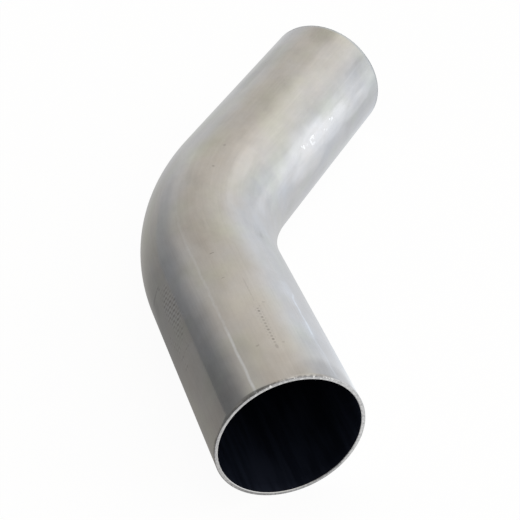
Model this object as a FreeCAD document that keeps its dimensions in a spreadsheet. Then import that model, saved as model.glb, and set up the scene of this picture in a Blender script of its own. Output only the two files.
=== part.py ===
import FreeCAD, Part

# Bent stainless tube, one piece, made by drawing a straight length round a die over a mandrel.
# All sizes are in millimetres and degrees.
#
# The inlet end's centre is at the origin and the inlet leg runs along +Y.
# The tube then turns towards +X in the plane z = 0, and ends in the outlet leg.
# It lies flat, on the lowest line of its wall, at z = -outer_diameter / 2.
import os

import Sketcher

# The driving dimensions: alias, value and meaning.
SIZES = [
    ("outer_diameter", 63.5, "outside of the tube, which a hose or clamp goes over"),
    ("wall", 1.65, "thickness of the wall in the straight legs"),
    ("bend_radius", 101.6, "from the centre of the bend to the tube's centreline"),
    ("bend_angle", 45.0, "how far the bend turns, in degrees"),
    ("inlet_leg", 100.0, "straight length before the bend, gripped while it is bent"),
    ("outlet_leg", 105.0, "straight length after the bend"),
    ("wall_stretch", 0.3, "wall lost outside the bend, and gained inside, at its middle"),
    ("outer_edge_break", 0.25, "chamfer on the outer edge of each sawn end"),
    ("bore_edge_break", 0.2, "chamfer on the bore's edge of each sawn end"),
]
SHEET = "Sizes"

# Stretching thins the wall outside the bend and thickens it inside, which moves the bore outwards.
# The bore's own centreline does this by turning on a smaller radius between the same two legs.
# Its straight runs then go on a little past each end of the bend.
BORE_RUN_ON = f"{SHEET}.wall_stretch / tan({SHEET}.bend_angle / 4)"
BORE_BEND_RADIUS = f"{SHEET}.bend_radius - {BORE_RUN_ON} / tan({SHEET}.bend_angle / 2)"
BORE_DIAMETER = f"{SHEET}.outer_diameter - 2 * {SHEET}.wall"

# How a sketch numbers its origin point, and the start, end and centre of a curve.
ORIGIN_POINT = (-1, 1)
START, END, CENTRE = 1, 2, 3
UP = FreeCAD.Vector(0, 0, 1)


def add_sheet(doc):
    """The spreadsheet that holds the driving dimensions, each under its alias."""
    sheet = doc.addObject("Spreadsheet::Sheet", SHEET)
    for row, (alias, value, meaning) in enumerate(SIZES, start=1):
        sheet.set(f"A{row}", alias.replace("_", " "))
        sheet.set(f"B{row}", str(value))
        sheet.setAlias(f"B{row}", alias)
        sheet.set(f"C{row}", meaning)
    doc.recompute()
    return sheet


def sketch_on(body, plane_role, name):
    """An empty sketch on one of the body's origin planes."""
    plane = next(f for f in body.Origin.OriginFeatures if f.Role == plane_role)
    sketch = body.newObject("Sketcher::SketchObject", name)
    sketch.AttachmentSupport = [(plane, "")]
    sketch.MapMode = "FlatFace"
    return sketch


def drive(sketch, name, constraint, expression):
    """Adds a named dimension to a sketch and ties it to the spreadsheet."""
    sketch.renameConstraint(sketch.addConstraint(constraint), name)
    sketch.setExpression(f"Constraints.{name}", expression)


def add_centreline(body, sheet, name, bend_radius, run_on):
    """A path of two straight runs and the arc between them, in the bend plane.

    bend_radius is the expression for the arc's radius.
    run_on is the expression for how far each straight run goes on past the tube's own leg.
    """
    sketch = sketch_on(body, "XY_Plane", name)

    # The outside's own path is where the solver starts from.
    bend_start = FreeCAD.Vector(0, sheet.inlet_leg, 0)
    bend_centre = bend_start + FreeCAD.Vector(sheet.bend_radius, 0, 0)
    turned = FreeCAD.Rotation(UP, -sheet.bend_angle)
    bend_end = bend_centre + turned.multVec(bend_start - bend_centre)
    outlet_end = bend_end + turned.multVec(FreeCAD.Vector(0, sheet.outlet_leg, 0))
    circle = Part.Circle(bend_centre, UP, sheet.bend_radius)
    arc = Part.ArcOfCircle(circle, circle.parameter(bend_end), circle.parameter(bend_start))
    inlet = sketch.addGeometry(Part.LineSegment(FreeCAD.Vector(), bend_start))
    bend = sketch.addGeometry(arc)
    outlet = sketch.addGeometry(Part.LineSegment(bend_end, outlet_end))

    sketch.addConstraint(Sketcher.Constraint("Coincident", inlet, START, *ORIGIN_POINT))
    sketch.addConstraint(Sketcher.Constraint("Vertical", inlet))
    sketch.addConstraint(Sketcher.Constraint("Tangent", inlet, END, bend, END))
    sketch.addConstraint(Sketcher.Constraint("Tangent", bend, START, outlet, START))
    inlet_length = Sketcher.Constraint("Distance", inlet, sheet.inlet_leg)
    drive(sketch, "inlet_run", inlet_length, f"{SHEET}.inlet_leg + {run_on}")
    arc_radius = Sketcher.Constraint("Radius", bend, sheet.bend_radius)
    drive(sketch, "bend_radius", arc_radius, bend_radius)
    arc_span = Sketcher.Constraint("Angle", bend, arc.LastParameter - arc.FirstParameter)
    drive(sketch, "bend_angle", arc_span, f"{SHEET}.bend_angle * 1 deg")
    outlet_length = Sketcher.Constraint("Distance", outlet, sheet.outlet_leg)
    drive(sketch, "outlet_run", outlet_length, f"{SHEET}.outlet_leg + {run_on}")
    return sketch


def add_section(body, sheet, name, diameter):
    """A circle square to the inlet leg at the inlet end, with diameter as its expression."""
    sketch = sketch_on(body, "XZ_Plane", name)
    circle = Part.Circle(FreeCAD.Vector(), UP, sheet.outer_diameter / 2)
    ring = sketch.addGeometry(circle)
    sketch.addConstraint(Sketcher.Constraint("Coincident", ring, CENTRE, *ORIGIN_POINT))
    size = Sketcher.Constraint("Diameter", ring, sheet.outer_diameter)
    drive(sketch, "diameter", size, diameter)
    return sketch


def add_pipe(body, kind, name, section, centreline):
    """Sweeps a section along a centreline, as an AdditivePipe or a SubtractivePipe."""
    pipe = body.newObject(f"PartDesign::{kind}", name)
    pipe.Profile = section
    pipe.Spine = (centreline, [""])
    body.Document.recompute()
    return pipe


def break_end_edges(body, base, name, diameter, size):
    """Chamfers the round edges of one diameter on both sawn ends, with size as its expression."""
    shape = base.Shape
    ends = [face for face in shape.Faces if isinstance(face.Surface, Part.Plane)]
    rims = [
        edge
        for face in ends
        for edge in face.Edges
        if abs(2 * edge.Curve.Radius - diameter) < Part.Precision.confusion()
    ]
    names = [
        f"Edge{number}"
        for number, edge in enumerate(shape.Edges, start=1)
        if any(edge.isSame(rim) for rim in rims)
    ]
    chamfer = body.newObject("PartDesign::Chamfer", name)
    chamfer.Base = (base, names)
    chamfer.setExpression("Size", size)
    body.Document.recompute()
    return chamfer


def add_tube(doc, sheet):
    """The whole tube: its outside, its bore and the broken edges of its two ends."""
    tube = doc.addObject("PartDesign::Body", "Tube")
    tube.Label = "bent_tube"
    outside = add_pipe(
        tube,
        "AdditivePipe",
        "Outside",
        add_section(tube, sheet, "OutsideSection", f"{SHEET}.outer_diameter"),
        add_centreline(tube, sheet, "OutsidePath", f"{SHEET}.bend_radius", "0"),
    )
    bore = add_pipe(
        tube,
        "SubtractivePipe",
        "Bore",
        add_section(tube, sheet, "BoreSection", BORE_DIAMETER),
        add_centreline(tube, sheet, "BorePath", BORE_BEND_RADIUS, BORE_RUN_ON),
    )
    if bore.Shape.Volume >= outside.Shape.Volume:
        raise RuntimeError("the bore cut nothing out of the tube")
    outer_edges = break_end_edges(
        tube, bore, "OuterEdges", sheet.outer_diameter, f"{SHEET}.outer_edge_break"
    )
    bore_diameter = sheet.outer_diameter - 2 * sheet.wall
    break_end_edges(
        tube, outer_edges, "BoreEdges", bore_diameter, f"{SHEET}.bore_edge_break"
    )
    return tube


def check(doc, bodies):
    """Stops the script if a feature failed or a piece isn't one valid closed solid."""
    for item in doc.Objects:
        if {"Invalid", "Error"} & set(item.State):
            raise RuntimeError(f"{item.Name} failed: {item.State}")
    for body in bodies:
        shape = body.Shape
        if shape.isNull() or not shape.isValid() or len(shape.Solids) != 1:
            raise RuntimeError(f"{body.Label} isn't one valid solid")


def write(bodies):
    """Writes each piece to its own STEP file, named by its label."""
    os.makedirs("parts", exist_ok=True)
    for body in bodies:
        body.Shape.exportStep(f"parts/{body.Label}.step")
        box = body.Shape.optimalBoundingBox(False, False)
        size = f"{box.XLength:.1f} x {box.YLength:.1f} x {box.ZLength:.1f} mm"
        print(f"{body.Label}: {size}, {body.Shape.Volume:.0f} mm3")


def main():
    doc = FreeCAD.newDocument("BentTube")
    sheet = add_sheet(doc)
    bodies = [add_tube(doc, sheet)]
    doc.recompute()
    check(doc, bodies)
    write(bodies)


main()
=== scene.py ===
from dataclasses import dataclass, field
from enum import Enum
import logging
from math import atan2, cos, hypot, pi, radians, sin, tan
from typing import Any, Iterable, Optional

import bmesh
import bpy
from bmesh.types import BMEdge, BMesh, BMFace, BMVert
from mathutils import Matrix, Quaternion, Vector, noise


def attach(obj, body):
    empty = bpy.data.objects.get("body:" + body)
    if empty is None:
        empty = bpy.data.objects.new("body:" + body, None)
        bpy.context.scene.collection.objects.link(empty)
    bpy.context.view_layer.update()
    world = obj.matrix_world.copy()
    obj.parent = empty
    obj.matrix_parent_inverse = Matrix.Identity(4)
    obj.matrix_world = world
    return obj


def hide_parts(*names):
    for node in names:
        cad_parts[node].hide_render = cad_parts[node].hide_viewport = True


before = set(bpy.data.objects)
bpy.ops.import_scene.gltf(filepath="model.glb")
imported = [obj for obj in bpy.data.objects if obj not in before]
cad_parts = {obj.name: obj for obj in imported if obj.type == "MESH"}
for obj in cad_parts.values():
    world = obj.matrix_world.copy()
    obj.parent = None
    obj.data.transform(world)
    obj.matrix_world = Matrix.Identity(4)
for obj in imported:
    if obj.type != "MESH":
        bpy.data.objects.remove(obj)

LOG = logging.getLogger("bent_tube")

MM = 0.001
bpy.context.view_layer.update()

# The attribute that says where each point of the tube lay before it was bent.
STRAIGHT = "straight"

# The side where the sawn corner is rough: from and to, in degrees round, and how softly it ends.
BURRED_SIDE = (70.0, 165.0, 20.0)

Colour = tuple[float, float, float]
Stops = Iterable[tuple[float, Colour]]


class Zone(Enum):
    """The finishes of the tube, by the material index of its faces."""

    OUTSIDE = 0
    SAWN_END = 1
    BORE = 2


class Shader:
    """The nodes and links of one material or world."""

    def __init__(self, tree: bpy.types.NodeTree) -> None:
        """Empties the tree and keeps it.

        Args:
            tree: the node tree of the material or world.
        """
        tree.nodes.clear()
        self.tree = tree

    @classmethod
    def of_material(cls, name: str) -> tuple[bpy.types.Material, "Shader"]:
        """Makes a material.

        Args:
            name: its name.

        Returns:
            The material, and the shader of its nodes.
        """
        made = bpy.data.materials.new(name)
        made.use_nodes = True
        return made, cls(made.node_tree)

    def node(self, kind: str, settings: Optional[dict[str, Any]] = None, **inputs: Any) -> bpy.types.Node:
        """Adds a node, sets it up and fills its inputs.

        Args:
            kind: the node's type, such as "ShaderNodeTexNoise".
            settings: its own properties, and a ramp's stops under "stops".
            **inputs: values, fields or sockets by the input's name in lower case with underscores,
                or by _ and its number where names repeat.

        Returns:
            The new node.
        """
        made = self.tree.nodes.new(kind)
        for name, value in (settings or {}).items():
            if name == "stops":
                self._set_stops(made, value)
            else:
                setattr(made, name, value)
        for name, value in inputs.items():
            if name.startswith("_"):
                socket = made.inputs[int(name[1:])]
            else:
                socket = next(s for s in made.inputs if s.name.lower().replace(" ", "_") == name)
            self._fill(socket, value)
        return made

    def field(self, socket: bpy.types.NodeSocket) -> "Field":
        """A number socket, ready for arithmetic."""
        return Field(self, socket)

    def parts(self, vector: Any) -> list["Field"]:
        """The x, y and z of a vector."""
        return [self.field(s) for s in self.node("ShaderNodeSeparateXYZ", None, vector=vector).outputs]

    def maths(self, operation: str, *values: Any, clamp: bool = False) -> "Field":
        """Adds a Math node.

        Args:
            operation: its operation, such as "MULTIPLY".
            *values: its inputs in order.
            clamp: whether the result is held between 0 and 1.

        Returns:
            The node's result.
        """
        inputs = {f"_{place}": value for place, value in enumerate(values)}
        settings = {"operation": operation, "use_clamp": clamp}
        return self.field(self.node("ShaderNodeMath", settings, **inputs).outputs[0])

    def mix(self, share: Any, first: Any, second: Any) -> bpy.types.NodeSocket:
        """Adds a Mix node for colours.

        Args:
            share: how much of the second colour, from 0 to 1.
            first: the colour at 0.
            second: the colour at 1.

        Returns:
            The mixed colour's socket.
        """
        return self.node("ShaderNodeMix", {"data_type": "RGBA"}, _0=share, _6=first, _7=second).outputs[2]

    def scaled(self, colour: Any, factor: Any) -> bpy.types.NodeSocket:
        """A colour or vector times a number."""
        return self.node("ShaderNodeVectorMath", {"operation": "SCALE"}, _0=colour, _3=factor).outputs[0]

    def ramp(self, value: Any, stops: Stops) -> bpy.types.NodeSocket:
        """Adds a colour ramp.

        Args:
            value: where to read it, from 0 to 1.
            stops: its places and colours.

        Returns:
            The colour's socket.
        """
        return self.node("ShaderNodeValToRGB", {"stops": list(stops)}, fac=value).outputs[0]

    def noise(self, where: Any, scale: float, detail: float = 2.0, roughness: float = 0.5) -> "Field":
        """Adds a noise texture.

        Args:
            where: the vector that it is read at.
            scale: its frequency, per metre of that vector.
            detail: how many finer layers it has.
            roughness: how strong those are.

        Returns:
            The noise about 0, mostly from -0.3 to 0.3.
        """
        inputs = {"vector": where, "scale": scale, "detail": detail, "roughness": roughness}
        return self.field(self.node("ShaderNodeTexNoise", None, **inputs).outputs[0]) - 0.5

    def vector(self, x: Any, y: Any, z: Any) -> bpy.types.NodeSocket:
        """The vector of three numbers."""
        return self.node("ShaderNodeCombineXYZ", None, x=x, y=y, z=z).outputs[0]

    def compass(self, x: Any, y: Any) -> "Field":
        """The direction of x and y, from 0 at -Y round through 0.5 at +Y to 1."""
        return self.maths("ARCTAN2", x, y) / (2 * pi) + 0.5

    def bump(self, height: Any) -> bpy.types.NodeSocket:
        """The normal of a surface with a relief, whose height is in metres."""
        return self.node("ShaderNodeBump", None, strength=1.0, distance=1.0, height=height).outputs[0]

    def finish(self, surface: bpy.types.NodeSocket, output: str = "ShaderNodeOutputMaterial") -> None:
        """Ends the tree in its output."""
        self.node(output, None, surface=surface)

    def _fill(self, socket: bpy.types.NodeSocket, value: Any) -> None:
        """Sets an input, or links to it.

        Args:
            socket: the input.
            value: a number, a tuple, a field or another node's output.
        """
        if isinstance(value, Field):
            value = value.socket
        if isinstance(value, bpy.types.NodeSocket):
            self.tree.links.new(value, socket)
        elif isinstance(value, tuple) and socket.type == "RGBA" and len(value) == 3:
            socket.default_value = (*value, 1.0)
        else:
            socket.default_value = value

    @staticmethod
    def _set_stops(ramp: bpy.types.Node, stops: list[tuple[float, Colour]]) -> None:
        """Gives a ramp its stops.

        Args:
            ramp: the node.
            stops: at least two places and colours, in order.
        """
        elements = ramp.color_ramp.elements
        while len(elements) < len(stops):
            elements.new(1.0)
        for element, (place, colour) in zip(elements, stops):
            element.position = place
            element.color = (*colour, 1.0)


@dataclass(frozen=True)
class Field:
    """A number that varies over a surface, written in sums as Python numbers are."""

    shader: Shader
    socket: bpy.types.NodeSocket

    def __add__(self, other: Any) -> "Field":
        """The sum of the two."""
        return self.shader.maths("ADD", self, other)

    __radd__ = __add__

    def __sub__(self, other: Any) -> "Field":
        """This less the other."""
        return self.shader.maths("SUBTRACT", self, other)

    def __rsub__(self, other: Any) -> "Field":
        """The other less this."""
        return self.shader.maths("SUBTRACT", other, self)

    def __mul__(self, other: Any) -> "Field":
        """The product of the two."""
        return self.shader.maths("MULTIPLY", self, other)

    __rmul__ = __mul__

    def __truediv__(self, other: Any) -> "Field":
        """This divided by the other."""
        return self.shader.maths("DIVIDE", self, other)

    def abs(self) -> "Field":
        """Its size without its sign."""
        return self.shader.maths("ABSOLUTE", self)

    def clamp(self) -> "Field":
        """Itself, held between 0 and 1."""
        return self.shader.maths("ADD", self, 0.0, clamp=True)

    def most(self, other: Any) -> "Field":
        """The larger of the two."""
        return self.shader.maths("MAXIMUM", self, other)

    def wave(self, period: float) -> "Field":
        """A cosine wave of it, which is 1 at 0 and at each multiple of period."""
        return self.shader.maths("COSINE", self * (2 * pi / period))

    def repeat(self, pitch: float) -> "Field":
        """How far it is from the nearest multiple of pitch, with its sign."""
        return self.shader.maths("WRAP", self, pitch / 2, -pitch / 2)

    def rise(self, low: float, high: float) -> "Field":
        """A smooth step.

        Args:
            low: where it is 0.
            high: where it is 1, above or below low.

        Returns:
            The step, from 0 to 1.
        """
        if high < low:
            return 1.0 - self.rise(high, low)
        settings = {"interpolation_type": "SMOOTHSTEP"}
        made = self.shader.node("ShaderNodeMapRange", settings, _0=self, _1=low, _2=high, _3=0.0, _4=1.0)
        return self.shader.field(made.outputs[0])

    def band(self, low: float, high: float, soft: float) -> "Field":
        """1 between two values, falling smoothly to 0 over a distance of soft past each."""
        return self.rise(low - soft, low) * self.rise(high + soft, high)


@dataclass(frozen=True)
class Place:
    """Where a point of the surface lay on the straight tube.

    It is round degrees from the inside of the bend, towards the top, along millimetres from the inlet
    end, and out millimetres from the centreline. The raw vector is in metres.
    """

    shader: Shader
    round: Field
    along: Field
    out: Field
    vector: bpy.types.NodeSocket

    @classmethod
    def read(cls, shader: Shader) -> "Place":
        """Reads the place from the tube's own attribute."""
        settings = {"attribute_type": "GEOMETRY", "attribute_name": STRAIGHT}
        vector = shader.node("ShaderNodeAttribute", settings).outputs["Vector"]
        x, y, z = (part / MM for part in shader.parts(vector))
        angle = shader.maths("ARCTAN2", z, x) * (180 / pi)
        return cls(shader, angle, y, shader.maths("SQRT", x * x + z * z), vector)

    def across(self, degrees: Any) -> Field:
        """How far round the surface it is from a line along the tube, in millimetres, with its sign."""
        return (self.round - degrees) * self.out * radians(1)

    def noise(self, stretch: float, scale: float, detail: float = 2.0, roughness: float = 0.5) -> Field:
        """A noise that follows the tube.

        Args:
            stretch: how many times longer than wide its features are, along the tube.
            scale: its frequency round the tube, per metre.
            detail: how many finer layers it has.
            roughness: how strong those are.

        Returns:
            The noise about 0.
        """
        settings = {"operation": "MULTIPLY"}
        squeezed = self.shader.node(
            "ShaderNodeVectorMath", settings, _0=self.vector, _1=(1.0, 1.0 / stretch, 1.0)
        )
        return self.shader.noise(squeezed.outputs[0], scale, detail, roughness)


@dataclass(frozen=True)
class Mark:
    """A soft oval mark on the outside, in degrees round and in millimetres."""

    round: float
    along: float
    wide: float
    tall: float
    strength: float = 1.0

    def shade(self, place: Place, ragged: Field) -> Field:
        """How much of it shows.

        Args:
            place: where the surface is.
            ragged: a noise that breaks up its edge.

        Returns:
            Its strength at its middle, falling to 0 at its edge.
        """
        sideways = place.across(self.round) * (2 / self.wide)
        lengthways = (place.along - self.along) * (2 / self.tall)
        return (sideways * sideways + lengthways * lengthways + ragged).rise(1.0, 0.1) * self.strength


def strongest(marks: Iterable[Mark], place: Place, ragged: Field) -> Field:
    """The strongest of several marks.

    Args:
        marks: the marks, at least one.
        place: where the surface is.
        ragged: a noise that breaks up their edges.

    Returns:
        How much of a mark shows.
    """
    first, *others = (mark.shade(place, ragged) for mark in marks)
    for shade in others:
        first = first.most(shade)
    return first


@dataclass(frozen=True)
class MillStainless:
    """The drawn outside: satin steel with faint draw lines and the marks that bending left on it, with
    painted highlights and painted shade in its colour.
    """

    warm: Colour = (0.652, 0.629, 0.606)
    cool: Colour = (0.626, 0.626, 0.632)
    olive: Colour = (0.638, 0.646, 0.596)
    # bright and gleam are colours of painted highlights; dull darkens real marks and painted shade alike.
    bright: Colour = (0.88, 0.91, 0.95)
    gleam: Colour = (0.98, 0.98, 0.98)
    dull: Colour = (0.20, 0.19, 0.185)
    roughness: float = 0.105
    waviness: float = 0.16 * MM
    grain: float = 0.005 * MM
    bite: float = 0.010 * MM

    # How much each pattern lightens or darkens the metal; the highlight and the darkening are painted light
    # and shade.
    patch_share: float = 0.28
    broad_share: float = 0.16
    streak_share: float = 0.08
    line_share: float = 0.12
    highlight_share: float = 0.22
    darkening_share: float = 0.24

    # Where the lines and the rows of marks lie, in degrees round.
    weld_line: float = 113.3
    rub_line: float = 50.5
    soft_light_line: float = 52.0
    bend_light_line: float = 68.5
    teeth_line: float = 85.5
    grip_line: float = 147.0

    # The clamp's teeth and its chequered jaw: pitches in millimetres, and how far columns lean.
    tooth_pitch: float = 2.02
    row_pitch: float = 2.09
    column_pitch: float = 2.06
    column_lean: float = 0.344
    cross_pitch: float = 5.15
    cross_lean: float = 1.71

    nicks: tuple[Mark, ...] = (
        Mark(165.0, 92.6, 14.0, 2.0, 0.32),
        Mark(154.2, 92.6, 2.6, 1.5, 0.42),
        Mark(153.4, 91.2, 2.0, 1.3, 0.35),
        Mark(98.0, 22.9, 2.2, 1.3, 0.3),
        Mark(79.4, 21.4, 1.6, 1.4, 0.2),
        Mark(79.0, 47.4, 1.8, 1.3, 0.2),
        Mark(98.7, 85.7, 3.0, 0.8, 0.45),
        Mark(98.7, 68.2, 2.6, 0.7, 0.35),
        Mark(84.6, 168.0, 1.8, 1.6, 0.3),
        Mark(85.4, 150.2, 1.8, 1.6, 0.35),
        Mark(85.4, 19.6, 1.7, 3.6, 0.3),
        Mark(85.2, 57.0, 0.8, 22.0, 0.15),
        Mark(95.5, 134.0, 2.5, 7.0, 0.08),
        Mark(95.0, 107.0, 2.5, 9.0, 0.08),
    )
    # Painted highlights: small white sparkles, mixed into the colour as gleam.
    glints: tuple[Mark, ...] = (
        Mark(24.0, 232.8, 1.9, 3.4, 0.8),
        Mark(25.6, 230.8, 1.5, 1.7, 0.9),
        Mark(21.0, 225.0, 1.1, 1.9, 0.6),
        Mark(22.9, 223.2, 1.1, 1.4, 0.7),
        Mark(22.4, 211.0, 1.5, 4.0, 0.8),
        Mark(25.0, 209.2, 4.4, 1.9, 1.0),
        Mark(28.0, 211.6, 1.5, 5.0, 1.0),
        Mark(26.2, 212.4, 1.3, 2.2, 0.7),
        Mark(26.6, 205.6, 0.9, 2.6, 0.5),
        Mark(27.9, 202.4, 2.6, 2.4, 0.9),
        Mark(30.0, 201.0, 1.4, 1.3, 0.7),
    )
    # Painted highlights: soft bright patches, mostly a long band on the outlet leg, that lighten the colour
    # where the metal reflects bright light.
    highlight_patches: tuple[Mark, ...] = (
        Mark(33.0, 201.0, 17.0, 34.0, 0.65),
        Mark(24.0, 214.0, 17.0, 50.0, 1.0),
        Mark(18.0, 234.0, 14.0, 50.0, 0.9),
        Mark(13.0, 256.0, 10.0, 44.0, 0.75),
        Mark(11.0, 202.0, 14.0, 44.0, 0.80),
        Mark(63.0, 158.0, 9.0, 44.0, 0.45),
        Mark(87.0, 43.0, 26.0, 76.0, 0.45),
        Mark(127.0, 68.0, 10.0, 34.0, 0.55),
    )
    # Painted shade: soft darker patches where the metal's reflections are darker.
    painted_dark_patches: tuple[Mark, ...] = (
        Mark(31.0, 276.0, 16.0, 70.0, 0.75),
        Mark(84.0, 284.0, 20.0, 44.0, 0.80),
        Mark(82.0, 214.0, 22.0, 64.0, 0.35),
        Mark(118.0, 245.0, 12.0, 84.0, 0.45),
        Mark(169.0, 89.0, 9.0, 16.0, 0.60),
        Mark(101.0, 117.0, 24.0, 76.0, 0.50),
        Mark(54.0, 2.0, 44.0, 24.0, 0.90),
        Mark(-1.0, 268.0, 24.0, 80.0, 0.40),
    )
    gripped: tuple[Mark, ...] = (
        Mark(148.5, 75.0, 12.0, 31.0),
        Mark(151.0, 64.5, 8.5, 24.0, 0.65),
        Mark(166.0, 65.0, 3.0, 8.0, 0.4),
        Mark(162.5, 58.0, 4.5, 8.0, 0.5),
        Mark(160.5, 54.5, 6.5, 4.5, 0.6),
        Mark(150.0, 49.0, 7.0, 4.5, 0.35),
        Mark(160.5, 49.0, 4.5, 4.0, 0.5),
        Mark(160.0, 43.5, 6.5, 4.5, 0.55),
    )

    def material(self) -> bpy.types.Material:
        """Makes the material."""
        made, shader = Shader.of_material("mill_stainless")
        place = Place.read(shader)
        ragged = shader.noise(place.vector, 1100.0, 1.0) * 1.6
        cloudy = place.noise(2.2, 120.0, 1.0) * 1.2
        dark = strongest(self.nicks, place, ragged)
        glint = strongest(self.glints, place, ragged)
        painted_highlight = strongest(self.highlight_patches, place, cloudy)
        painted_darkening = strongest(self.painted_dark_patches, place, cloudy * 0.8 + 0.15)
        pricks = self.teeth(place)
        chequer = self.grip(place)
        # The nicks and the teeth are real dark marks; the chequer's pits and the burr's edge, darkened with
        # them, are painted shade.
        marks_and_shade = dark.most(pricks).most(chequer * -0.60).most(self.burr_shade(shader, place))
        lines = place.noise(60.0, 1500.0, 3.0, 0.6)
        streaks = place.noise(18.0, 330.0, 2.0)
        patches = place.noise(1.5, 120.0, 4.0, 0.65)
        broad = place.noise(1.4, 42.0, 1.0)

        # The noises are random tone; the painted highlight adds the bright band.
        shade = patches * self.patch_share + broad * self.broad_share + streaks * self.streak_share
        shade = shade + lines * self.line_share + painted_highlight * self.highlight_share + 1.0
        tint = self.tint(shader, place, 1.0 - painted_highlight)
        # The dark patches take painted shade out of the colour.
        colour = shader.scaled(tint, shade - painted_darkening * self.darkening_share)
        # Painted highlights: the light lines and the chequer's ridges lighten the colour towards bright.
        light = (self.lines(shader, place) + chequer.most(0.0) * 0.30).clamp()
        colour = shader.mix(light, colour, self.bright)
        # Painted glints: the sparkles take the gleam colour.
        colour = shader.mix(glint, colour, self.gleam)
        colour = shader.mix(marks_and_shade, colour, self.dull)

        dulled = place.along.rise(90.0, 130.0) * 0.03 + place.along.band(110.0, 170.0, 15.0) * 0.04
        rough = patches * 0.08 + streaks * 0.05 + self.roughness + dulled
        rough = rough + marks_and_shade * 0.10 + glint * 0.15
        height = self.waves(place) * self.waviness + lines * self.grain
        height = height + (chequer - pricks * 1.5 - dark + ragged * glint * 2.0) * self.bite
        skin = shader.node(
            "ShaderNodeBsdfPrincipled",
            None,
            base_color=colour,
            metallic=1.0,
            roughness=rough,
            normal=shader.bump(height),
        )
        shader.finish(skin.outputs[0])
        return made

    def tint(self, shader: Shader, place: Place, outside_highlight: Field) -> bpy.types.NodeSocket:
        """The metal's own colour, which drifts between warm, cool and olive.

        Args:
            shader: the material's nodes.
            place: where the surface is.
            outside_highlight: how much of the olive may show, from 0 to 1, which is less under the painted
                highlight.

        Returns:
            The colour's socket.
        """
        drift = place.noise(1.4, 55.0, 3.0, 0.6)
        green = (place.noise(1.4, 62.0, 3.0) * 3.5 + 0.15).clamp() * outside_highlight
        colour = shader.mix((drift * 2.6 + 0.5).clamp(), self.warm, self.cool)
        return shader.mix(green, colour, self.olive)

    def burr_shade(self, shader: Shader, place: Place) -> Field:
        """The frayed dark edge of the outside at the inlet's sawn corner: a painted shadow of the burr.

        Args:
            shader: the material's nodes.
            place: where the surface is.

        Returns:
            How much it shows, from 0 to 1.
        """
        frayed = (shader.noise(place.vector, 800.0, 2.0) * 4.0 + 0.5).clamp()
        rough_side = place.round.band(*BURRED_SIDE) * 0.8 + 0.1
        return place.along.rise(1.5, 0.5) * frayed * rough_side * 0.7

    def waves(self, place: Place) -> Field:
        """The unevenness that the die and the mandrel left, which is strongest past the clamped leg.

        Args:
            place: where the surface is.

        Returns:
            The relief as a share of waviness.
        """
        past_clamp = place.along.rise(80.0, 130.0) * 0.5 + place.along.rise(165.0, 205.0) * 0.65 + 0.4
        return place.noise(1.4, 78.0, 2.0, 0.5) * past_clamp

    def lines(self, shader: Shader, place: Place) -> Field:
        """The light lines that run along the tube, all painted highlight: a seam and a rub line, whose
        brightness is painted reflection, and two soft bands of painted light.

        Args:
            shader: the material's nodes.
            place: where the surface is.

        Returns:
            How much they show, from 0 to 1.
        """
        along = place.along
        drift = shader.noise(shader.vector(along * 0.10, 3.0, 0.0), 1.0, 2.0)
        uneven = shader.noise(shader.vector(along * 0.30, 9.0, 0.0), 1.0, 3.0) * 2.4 + 1.0
        wander = shader.noise(shader.vector(along * 0.22, 5.0, 0.0), 1.0, 2.0) * along.rise(30.0, 60.0)
        weld = (place.across(self.weld_line) + drift * 1.1 + wander * 1.8).abs().rise(0.9, 0.1)
        weld_strength = along.rise(165.0, 40.0) * 0.27 + along.rise(46.0, 30.0) * 0.42
        hook = along.rise(51.0, 56.0) * 1.8 + along.rise(30.0, 5.0) * 0.8
        rub = (place.across(self.rub_line) + drift * 2.4 + hook).abs().rise(0.9, 0.1)
        rub_strength = along.band(30.0, 54.0, 4.0) * 0.34 + along.band(4.0, 54.0, 3.0) * 0.18
        soft_light = (place.across(self.soft_light_line) + drift * 3.0).abs().rise(4.0, 0.5)
        soft_light_strength = along.band(55.0, 62.0, 6.0) * 0.20 + along.band(28.0, 33.0, 5.0) * 0.16
        bend_light = place.across(self.bend_light_line).abs().rise(3.0, 0.8)
        bend_light_strength = along.band(122.0, 140.0, 10.0) * 0.15
        drawn = weld * weld_strength + rub * rub_strength
        uneven_lines = (drawn + soft_light * soft_light_strength).most(0.0) * uneven.most(0.2)
        return uneven_lines + bend_light * bend_light_strength

    def teeth(self, place: Place) -> Field:
        """The row of fine pricks that the clamp's teeth left on the inlet leg.

        Args:
            place: where the surface is.

        Returns:
            How deep they are, from 0 to 1.
        """
        worn = (place.noise(1.0, 310.0, 1.0) * 2.2 + 0.75).clamp()
        row = place.along.band(22.2, 43.5, 1.2) * worn
        aside = place.across(self.teeth_line)
        main = self.pricked(place.along - 22.0, aside, 1.7, 1.5) * row
        beside = aside.abs() - 1.25
        faint = self.pricked(place.along - 23.0, beside, 1.3, 1.0) * place.along.band(24.0, 46.5, 1.0)
        return main * 0.55 + faint * 0.09

    def pricked(self, along: Field, aside: Field, tall: float, wide: float) -> Field:
        """A row of small oval pricks, one at each tooth of the clamp.

        Args:
            along: how far along the row it is, in millimetres.
            aside: how far from the row's middle it is, in millimetres.
            tall: a prick's length.
            wide: a prick's width.

        Returns:
            1 in a prick's middle, falling to 0 at its edge.
        """
        lengthways = along.repeat(self.tooth_pitch) * (2 / tall)
        sideways = aside * (2 / wide)
        return (lengthways * lengthways + sideways * sideways).rise(1.0, 0.1)

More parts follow.
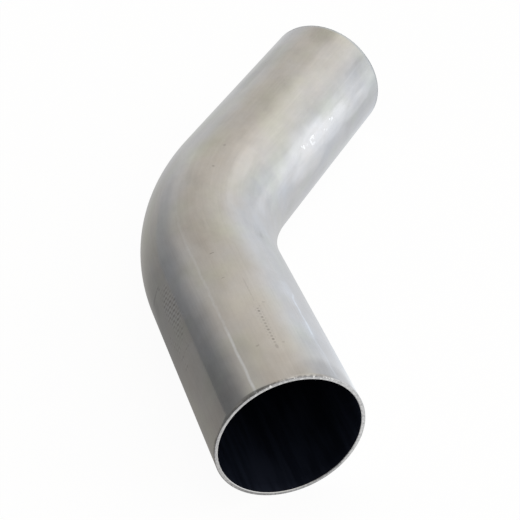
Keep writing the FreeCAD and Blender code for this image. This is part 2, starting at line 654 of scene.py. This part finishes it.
    def grip(self, place: Place) -> Field:
        """The chequered patch where the clamp gripped hardest, and the fainter bites beside it.

        Args:
            place: where the surface is.

        Returns:
            1 at its ridges and -1 in its pits, and 0 elsewhere.
        """
        across = place.across(self.grip_line)
        rows = (place.along + 0.15).wave(self.row_pitch)
        columns = (across - place.along * self.column_lean - 0.95).wave(self.column_pitch)
        cross = (across - place.along * self.cross_lean + 1.9).wave(self.cross_pitch)
        soft = place.noise(1.0, 150.0, 2.0) * 2.2
        return (rows * 0.55 + columns * 0.35 + cross * 0.25) * strongest(self.gripped, place, soft)


@dataclass(frozen=True)
class SawnEnd:
    """The cut rims: bright metal with the fine straight marks of the saw and a rough outer corner, with
    painted shade at that corner and painted highlights along the bore's lip and on the top.

    The pitch of the marks and the radii of the corner and of the bore's lip are in millimetres.
    """

    bright: Colour = (0.74, 0.735, 0.73)
    shade: Colour = (0.34, 0.34, 0.345)
    burr_shade: Colour = (0.20, 0.20, 0.205)
    shine: Colour = (0.95, 0.95, 0.94)
    roughness: float = 0.30
    pitch: float = 0.35
    corner_from: float = 31.1
    corner_to: float = 31.5
    lip_from: float = 30.6
    lip_to: float = 30.3

    def material(self) -> bpy.types.Material:
        """Makes the material."""
        made, shader = Shader.of_material("sawn_end")
        place = Place.read(shader)
        where = shader.node("ShaderNodeTexCoord").outputs["Object"]
        height = shader.parts(where)[2] / MM
        wander = shader.noise(where, 90.0, 2.0)
        marks = shader.noise(shader.vector(0.0, 0.0, height / self.pitch + wander), 1.0, 3.0, 0.6)
        grain = shader.noise(where, 900.0, 2.0, 0.7)
        nibble = shader.noise(where, 520.0, 2.0, 0.7)
        # The rim is made darker towards its bottom.
        foot = place.round.band(-130.0, -60.0, 25.0)
        rough_side = place.round.band(*BURRED_SIDE) * 0.8 + 0.2
        # Painted shade: a dark, frayed line at the outer corner, strongest on its rough side.
        corner = (place.out + nibble * 1.4).rise(self.corner_from, self.corner_to) * rough_side
        far_side = place.round.abs().rise(60.0, 110.0)
        # Painted highlights: a bright line along the bore's lip, and sparkles on the top of the rim.
        lip = (place.out + nibble * 0.5).rise(self.lip_from, self.lip_to) * far_side
        glint = (nibble + grain * 0.5).rise(0.06, 0.16) * place.round.band(55.0, 110.0, 15.0)
        tone = marks + grain * 2.2 + nibble * 1.2 + 0.68 - foot * 0.50
        colour = shader.mix(tone.clamp(), self.shade, self.bright)
        colour = shader.mix(lip * 0.6, colour, self.shine)
        colour = shader.mix(corner * 0.75, colour, self.burr_shade)
        colour = shader.mix(glint * 0.9, colour, self.shine)
        skin = shader.node(
            "ShaderNodeBsdfPrincipled",
            None,
            base_color=colour,
            metallic=1.0,
            roughness=grain * 0.2 + self.roughness,
            normal=shader.bump((marks * 0.02 + grain * 0.02 + corner * nibble * 0.12) * MM),
        )
        shader.finish(skin.outputs[0])
        return made


@dataclass(frozen=True)
class ShadedBore:
    """The inside, painted near-black: painted shade that stands for the dark, unlit bore."""

    # Painted shade: the near-black colours stand for the shade inside the bore; the worn colour is only a
    # paler streak of that shade.
    deep_shade: Colour = (0.007, 0.009, 0.016)
    worn: Colour = (0.016, 0.020, 0.034)
    roughness: float = 0.50
    specular: float = 0.05

    def material(self) -> bpy.types.Material:
        """Makes the material."""
        made, shader = Shader.of_material("oiled_bore")
        place = Place.read(shader)
        streaks = place.noise(14.0, 420.0, 3.0, 0.6)
        pools = place.noise(2.0, 60.0, 1.0)
        skin = shader.node(
            "ShaderNodeBsdfPrincipled",
            None,
            base_color=shader.mix((streaks + pools).rise(-0.2, 0.3), self.deep_shade, self.worn),
            roughness=streaks * 0.2 + pools * 0.3 + self.roughness,
            normal=shader.bump(streaks * 0.01 * MM),
        )
        skin.inputs["Specular IOR Level"].default_value = self.specular
        shader.finish(skin.outputs[0])
        return made


@dataclass(frozen=True)
class Path:
    """A centreline of two straight runs and the arc between them, in the plane z = 0."""

    inlet_run: float
    bend_radius: float
    bend_angle: float
    outlet_run: float

    @property
    def outlet_way(self) -> Vector:
        """The direction of the outlet leg."""
        return Vector((sin(self.bend_angle), cos(self.bend_angle), 0.0))

    @property
    def bend_centre(self) -> Vector:
        """The point that the arc turns about."""
        return Vector((self.bend_radius, self.inlet_run, 0.0))

    @property
    def bend_end(self) -> Vector:
        """Where the arc ends and the outlet run starts."""
        outwards = Vector((-cos(self.bend_angle), sin(self.bend_angle), 0.0))
        return self.bend_centre + self.bend_radius * outwards

    @property
    def outlet_end(self) -> Vector:
        """The far end of the outlet run."""
        return self.bend_end + self.outlet_run * self.outlet_way

    @property
    def length(self) -> float:
        """The length of the whole centreline."""
        return self.inlet_run + self.bend_radius * self.bend_angle + self.outlet_run

    def unbend(self, point: Vector) -> Vector:
        """Where a point lay before the tube was bent.

        Args:
            point: a point in or on the bent tube.

        Returns:
            Its place on the straight tube, which lies along +Y from the origin.
        """
        from_centre = point - self.bend_centre
        angle = atan2(from_centre.y, -from_centre.x)
        if angle <= 0:
            return point.copy()
        if angle < self.bend_angle:
            aside = self.bend_radius - hypot(from_centre.x, from_centre.y)
            return Vector((aside, self.inlet_run + self.bend_radius * angle, point.z))
        way = self.outlet_way
        past = point - self.bend_end
        along = self.inlet_run + self.bend_radius * self.bend_angle + past.dot(way)
        return Vector((past.dot(Vector((way.y, -way.x, 0.0))), along, point.z))


@dataclass
class BentTube:
    """The one piece: a round tube with two straight legs and a smooth bend."""

    outer_radius: float = 31.75 * MM
    wall: float = 1.65 * MM
    bend_radius: float = 101.6 * MM
    bend_angle: float = radians(45)
    inlet_leg: float = 100.0 * MM
    outlet_leg: float = 105.0 * MM
    wall_stretch: float = 0.3 * MM
    outer_edge_break: float = 0.25 * MM
    bore_edge_break: float = 0.2 * MM
    facets: int = 192
    outside_step: float = 2.0 * MM
    bore_step: float = 5.0 * MM
    unevenness: float = 0.06 * MM
    even_rim: float = 2.0 * MM
    swell_scale: float = 52.0
    merge_distance: float = 0.002 * MM
    finish: MillStainless = field(default_factory=MillStainless)
    sawn: SawnEnd = field(default_factory=SawnEnd)
    shaded_bore: ShadedBore = field(default_factory=ShadedBore)

    @property
    def bore_radius(self) -> float:
        """The radius of the bore."""
        return self.outer_radius - self.wall

    @property
    def outside_path(self) -> Path:
        """The centreline of the outside."""
        return Path(self.inlet_leg, self.bend_radius, self.bend_angle, self.outlet_leg)

    @property
    def bore_path(self) -> Path:
        """The centreline of the bore, whose tighter arc thins the wall outside the bend."""
        run_on = self.wall_stretch / tan(self.bend_angle / 4)
        radius = self.bend_radius - run_on / tan(self.bend_angle / 2)
        return Path(self.inlet_leg + run_on, radius, self.bend_angle, self.outlet_leg + run_on)

    def build(self) -> bpy.types.Object:
        """Makes the tube as one closed mesh, dresses it and fits it to its node.

        Returns:
            The finished piece.
        """
        bm = bmesh.new()
        outer_ends = self.skin(bm, self.outer_radius, self.outside_path, self.outside_step, Zone.OUTSIDE)
        self.skin(bm, self.bore_radius, self.bore_path, self.bore_step, Zone.BORE)
        for ring, centre in zip(outer_ends, (Vector(), self.outside_path.outlet_end)):
            self.add_rim(bm, ring, centre)
        bmesh.ops.remove_doubles(bm, verts=bm.verts, dist=self.merge_distance)
        bmesh.ops.recalc_face_normals(bm, faces=bm.faces)
        self.break_edges(bm, Zone.OUTSIDE, self.outer_edge_break)
        self.break_edges(bm, Zone.BORE, self.bore_edge_break)
        self.mark_ends(bm)
        self.make_uneven(bm)
        mesh = bpy.data.meshes.new("tube_wall")
        bm.to_mesh(mesh)
        bm.free()
        self.keep_straight_places(mesh)
        for material in self.materials():
            mesh.materials.append(material)
        tube = bpy.data.objects.new("tube_wall", mesh)
        bpy.context.scene.collection.objects.link(tube)
        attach(tube, "root")
        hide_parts("bent_tube")
        return tube

    def materials(self) -> list[bpy.types.Material]:
        """The materials of the zones, in the order of their numbers."""
        made = {
            Zone.OUTSIDE: self.finish.material(),
            Zone.SAWN_END: self.sawn.material(),
            Zone.BORE: self.shaded_bore.material(),
        }
        return [made[zone] for zone in Zone]

    def skin(self, bm: BMesh, radius: float, path: Path, step: float, zone: Zone) -> list[list[BMEdge]]:
        """Draws one skin of the wall, from a ring at the inlet end to the outlet end.

        Args:
            bm: the mesh that it is added to.
            radius: the ring's radius.
            path: the centreline that the ring follows.
            step: the length of a facet along the path.
            zone: the finish of its faces.

        Returns:
            The edges of its inlet end and of its outlet end.
        """
        upright = Matrix.Rotation(radians(90), 4, "X")
        ring = bmesh.ops.create_circle(bm, segments=self.facets, radius=radius, matrix=upright)["verts"]
        inlet_end = list(dict.fromkeys(edge for vert in ring for edge in vert.link_edges))
        before = set(bm.faces)
        last = self.draw(bm, inlet_end, path.inlet_run, Vector((0.0, 1.0, 0.0)), step)
        turns = round(path.bend_radius * path.bend_angle / step)
        bent = bmesh.ops.spin(
            bm,
            geom=last,
            cent=path.bend_centre,
            axis=(0.0, 0.0, -1.0),
            angle=path.bend_angle,
            steps=turns,
        )
        outlet_end = self.draw(bm, self.edges_of(bent), path.outlet_run, path.outlet_way, step)
        for face in set(bm.faces) - before:
            face.material_index = zone.value
            face.smooth = True
        return [inlet_end, outlet_end]

    def draw(self, bm: BMesh, ring: list[BMEdge], run: float, way: Vector, step: float) -> list[BMEdge]:
        """Draws a ring straight on.

        Args:
            bm: the mesh.
            ring: the ring's edges.
            run: how far it goes.
            way: the direction that it goes in.
            step: the length of a facet.

        Returns:
            The edges of the ring at the far end.
        """
        steps = round(run / step)
        drawn = bmesh.ops.spin(
            bm,
            geom=ring,
            axis=(0.0, 0.0, 1.0),
            dvec=way * (run / steps),
            angle=0.0,
            steps=steps,
        )
        return self.edges_of(drawn)

    @staticmethod
    def edges_of(result: dict[str, Any]) -> list[BMEdge]:
        """The edges of the ring that a spin ended on."""
        return [item for item in result["geom_last"] if isinstance(item, BMEdge)]

    def add_rim(self, bm: BMesh, ring: list[BMEdge], centre: Vector) -> None:
        """Makes the flat cut between an end of the outside and that of the bore.

        Args:
            bm: the mesh.
            ring: the edges of the outside's end.
            centre: the middle of that end.
        """
        made = bmesh.ops.extrude_edge_only(bm, edges=ring)["geom"]
        for face in made:
            if isinstance(face, BMFace):
                face.material_index = Zone.SAWN_END.value
        inner = [vert for vert in made if isinstance(vert, BMVert)]
        share = self.bore_radius / self.outer_radius
        bmesh.ops.scale(bm, vec=(share, share, share), space=Matrix.Translation(-centre), verts=inner)

    def break_edges(self, bm: BMesh, zone: Zone, size: float) -> None:
        """Chamfers the edges between a skin and the sawn rims.

        Args:
            bm: the mesh.
            zone: the skin.
            size: how much is taken off each side.
        """
        between = {zone.value, Zone.SAWN_END.value}
        rims = [e for e in bm.edges if {face.material_index for face in e.link_faces} == between]
        bmesh.ops.bevel(
            bm,
            geom=rims,
            offset=size,
            offset_type="OFFSET",
            segments=1,
            affect="EDGES",
            material=-1,
        )

    def mark_ends(self, bm: BMesh) -> None:
        """Gives the sawn rims their finish and flat faces."""
        path = self.outside_path
        depth = 1.05 * max(self.outer_edge_break, self.bore_edge_break)
        for face in bm.faces:
            along = path.unbend(face.calc_center_median()).y
            if depth < along < path.length - depth:
                continue
            face.material_index = Zone.SAWN_END.value
            face.smooth = False

    def make_uneven(self, bm: BMesh) -> None:
        """Gives the outside the broad unevenness of drawn and bent tube, cut into the true cylinder."""
        path = self.outside_path
        outside = [v for v in bm.verts if all(f.material_index == Zone.OUTSIDE.value for f in v.link_faces)]
        bm.normal_update()
        for vert in outside:
            place = path.unbend(vert.co)
            fade = min(1.0, place.y / self.even_rim, (path.length - place.y) / self.even_rim)
            vert.co -= vert.normal * self.dip(place) * max(0.0, fade)

    def dip(self, place: Vector) -> float:
        """How far the surface lies inside the true cylinder.

        Args:
            place: a point of the straight tube.

        Returns:
            The depth, never under zero.
        """
        drawn = Vector((place.x, place.y / 2.0, place.z)) * self.swell_scale
        held = 0.6 * self.inlet_leg
        clamped = min(1.0, max(0.35, (place.y - held) / held))
        depth = 0.5 + 0.62 * noise.noise(drawn) + 0.12 * noise.noise(drawn * 2.3)
        return self.unevenness * clamped * min(max(depth, 0.0), 1.0)

    def keep_straight_places(self, mesh: bpy.types.Mesh) -> None:
        """Stores where each vertex lay on the straight tube, for the patterns that follow the tube."""
        path = self.outside_path
        layer = mesh.attributes.new(STRAIGHT, "FLOAT_VECTOR", "POINT")
        for vertex, place in zip(mesh.vertices, layer.data):
            place.vector = path.unbend(vertex.co)


@dataclass(frozen=True)
class Lamp:
    """A soft box: an area lamp turned to face a point."""

    name: str
    place: tuple[float, float, float]
    aim: tuple[float, float, float]
    width: float
    height: float
    power: float
    colour: Colour

    def build(self) -> bpy.types.Object:
        """Makes the lamp."""
        light = bpy.data.lights.new(self.name, "AREA")
        light.shape = "RECTANGLE"
        light.size = self.width
        light.size_y = self.height
        light.energy = self.power
        light.color = self.colour
        lamp = bpy.data.objects.new(self.name, light)
        lamp.location = self.place
        lamp.rotation_euler = (Vector(self.aim) - Vector(self.place)).to_track_quat("-Z", "Y").to_euler()
        bpy.context.scene.collection.objects.link(lamp)
        return lamp


Tones = tuple[tuple[float, float, float], ...]


@dataclass
class Studio:
    """A plain pale floor, a plain room that is brightest on the right, a soft box and the camera; in the
    metal the floor shows painted light and shade.

    A tone is a compass direction, in degrees from +Y towards +X, a brightness, and how much bluer
    than grey it is.
    """

    floor_height: float = -31.75 * MM
    floor_radius: float = 6.0
    floor_facets: int = 96
    floor_colour: Colour = (0.80, 0.80, 0.80)
    floor_centre: tuple[float, float] = (0.03, 0.04)
    white: Colour = (1.05, 1.05, 1.05)
    white_share: float = 0.90
    camera_place: tuple[float, float, float] = (-0.1094, -0.3766, 0.4090)
    camera_aim: tuple[float, float, float] = (0.0233, 0.1108, 0.0)
    camera_roll: float = radians(-4.52)
    camera_lens: float = 98.22
    camera_sensor: float = 36.0
    ceiling_from: float = 0.12
    ceiling_to: float = 0.60
    lamps: tuple[Lamp, ...] = (
        Lamp("window", (1.30, 0.25, 0.14), (0.05, 0.15, 0.0), 0.9, 0.3, 0.12, (0.93, 0.97, 1.0)),
    )
    # Painted light and shade on the floor, seen in reflections: dark to the left of the tube, brighter than
    # white to the right.
    floor_painted_light: Tones = (
        (-180, 0.90, 0.00),
        (-145, 0.80, 0.00),
        (-118, 0.29, -0.05),
        (-70, 0.27, -0.05),
        (-42, 0.22, -0.01),
        (-25, 0.42, -0.03),
        (-3, 0.68, 0.01),
        (8, 0.68, 0.01),
        (45, 0.93, 0.06),
        (62, 1.09, 0.04),
        (84, 1.17, 0.03),
        (180, 0.90, 0.00),
    )
    walls: Tones = (
        (-180, 0.62, 0.00),
        (-150, 0.20, 0.01),
        (-45, 0.17, 0.02),
        (-38, 0.31, 0.04),
        (-20, 0.43, 0.01),
        (-6, 0.70, 0.01),
        (12, 0.62, -0.03),
        (34, 0.89, 0.04),
        (76, 0.77, 0.05),
        (90, 0.98, 0.02),
        (110, 1.14, 0.00),
        (180, 0.62, 0.00),
    )
    ceiling: Tones = (
        (-180, 0.91, -0.03),
        (-150, 0.28, -0.03),
        (-42, 0.21, -0.03),
        (-38, 0.35, -0.04),
        (-30, 0.52, -0.05),
        (-5, 0.57, -0.09),
        (32, 0.68, -0.07),
        (50, 0.84, -0.06),
        (75, 0.94, -0.03),
        (180, 0.93, -0.03),
    )

    def build(self) -> None:
        """Sets the room, the floor, the lamps and the camera."""
        bpy.context.scene.view_settings.view_transform = "Standard"
        self.build_room()
        self.build_floor()
        for lamp in self.lamps:
            lamp.build()
        self.build_camera()

    @staticmethod
    def stops(tones: Tones) -> list[tuple[float, Colour]]:
        """Tones, as the stops of a ramp that is read by the compass."""
        return [
            (degrees / 360 + 0.5, (bright * (1 - cool), bright * (1 - cool / 5), bright * (1 + cool)))
            for degrees, bright, cool in tones
        ]

    def build_room(self) -> None:
        """Makes the world: white to the camera, and to the tube a room that brightens to the right."""
        world = bpy.data.worlds.new("room")
        world.use_nodes = True
        bpy.context.scene.world = world
        shader = Shader(world.node_tree)
        x, y, up = shader.parts(shader.node("ShaderNodeTexCoord").outputs["Generated"])
        walls = shader.ramp(shader.compass(x, y), self.stops(self.walls))
        ceiling = shader.ramp(shader.compass(x, y), self.stops(self.ceiling))
        seen = shader.mix(up.rise(self.ceiling_from, self.ceiling_to), walls, ceiling)
        path = shader.node("ShaderNodeLightPath")
        colour = shader.mix(path.outputs["Is Camera Ray"], seen, self.white)
        background = shader.node("ShaderNodeBackground", None, color=colour, strength=1.0)
        shader.finish(background.outputs[0], "ShaderNodeOutputWorld")

    def build_floor(self) -> None:
        """Makes the floor that the tube lies on: pale, and white to the camera but for the shadow."""
        bm = bmesh.new()
        lying = Matrix.Translation((0.0, 0.0, self.floor_height))
        bmesh.ops.create_circle(
            bm,
            cap_ends=True,
            segments=self.floor_facets,
            radius=self.floor_radius,
            matrix=lying,
        )
        mesh = bpy.data.meshes.new("floor")
        bm.to_mesh(mesh)
        bm.free()
        mesh.materials.append(self.floor_material())
        floor = bpy.data.objects.new("floor", mesh)
        bpy.context.scene.collection.objects.link(floor)

    def floor_material(self) -> bpy.types.Material:
        """The floor's material: what the metal reflects is mostly a glow of painted light and shade, set by
        the compass direction round the tube, over a little of its own lit shading.
        """
        made, shader = Shader.of_material("pale_floor")
        x, y, _ = shader.parts(shader.node("ShaderNodeTexCoord").outputs["Object"])
        centre_x, centre_y = self.floor_centre
        # The painted tone glows by compass direction round the tube's middle.
        tone = shader.ramp(shader.compass(x - centre_x, y - centre_y), self.stops(self.floor_painted_light))
        path = shader.node("ShaderNodeLightPath")
        camera, glossy, through = (
            shader.field(path.outputs[name])
            for name in ("Is Camera Ray", "Is Glossy Ray", "Is Transmission Ray")
        )
        share = camera.most(glossy).most(through) * self.white_share
        lit = shader.node("ShaderNodeBsdfDiffuse", None, color=self.floor_colour)
        seen = shader.mix(camera, tone, self.white)
        glow = shader.node("ShaderNodeEmission", None, color=seen, strength=1.0)
        mixed = shader.node("ShaderNodeMixShader", None, _0=share, _1=lit.outputs[0], _2=glow.outputs[0])
        shader.finish(mixed.outputs[0])
        return made

    def build_camera(self) -> None:
        """Sets the camera where the photograph was taken from."""
        lens = bpy.data.cameras.new("camera")
        lens.lens = self.camera_lens
        lens.sensor_width = self.camera_sensor
        camera = bpy.data.objects.new("camera", lens)
        place, aim = Vector(self.camera_place), Vector(self.camera_aim)
        level = (aim - place).to_track_quat("-Z", "Y")
        rolled = level @ Quaternion((0.0, 0.0, 1.0), self.camera_roll)
        camera.location = place
        camera.rotation_euler = rolled.to_euler()
        bpy.context.scene.collection.objects.link(camera)
        bpy.context.scene.camera = camera


def write_sizes() -> None:
    """Updates the view layer."""
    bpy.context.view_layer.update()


def main() -> None:
    """Builds the tube and its studio."""
    logging.basicConfig(level=logging.INFO, format="%(message)s")
    tube = BentTube().build()
    LOG.info("%s: %d faces", tube.name, len(tube.data.polygons))
    Studio().build()
    LOG.info("studio: floor, lamps and camera")
    write_sizes()


if __name__ == "__main__":
    main()
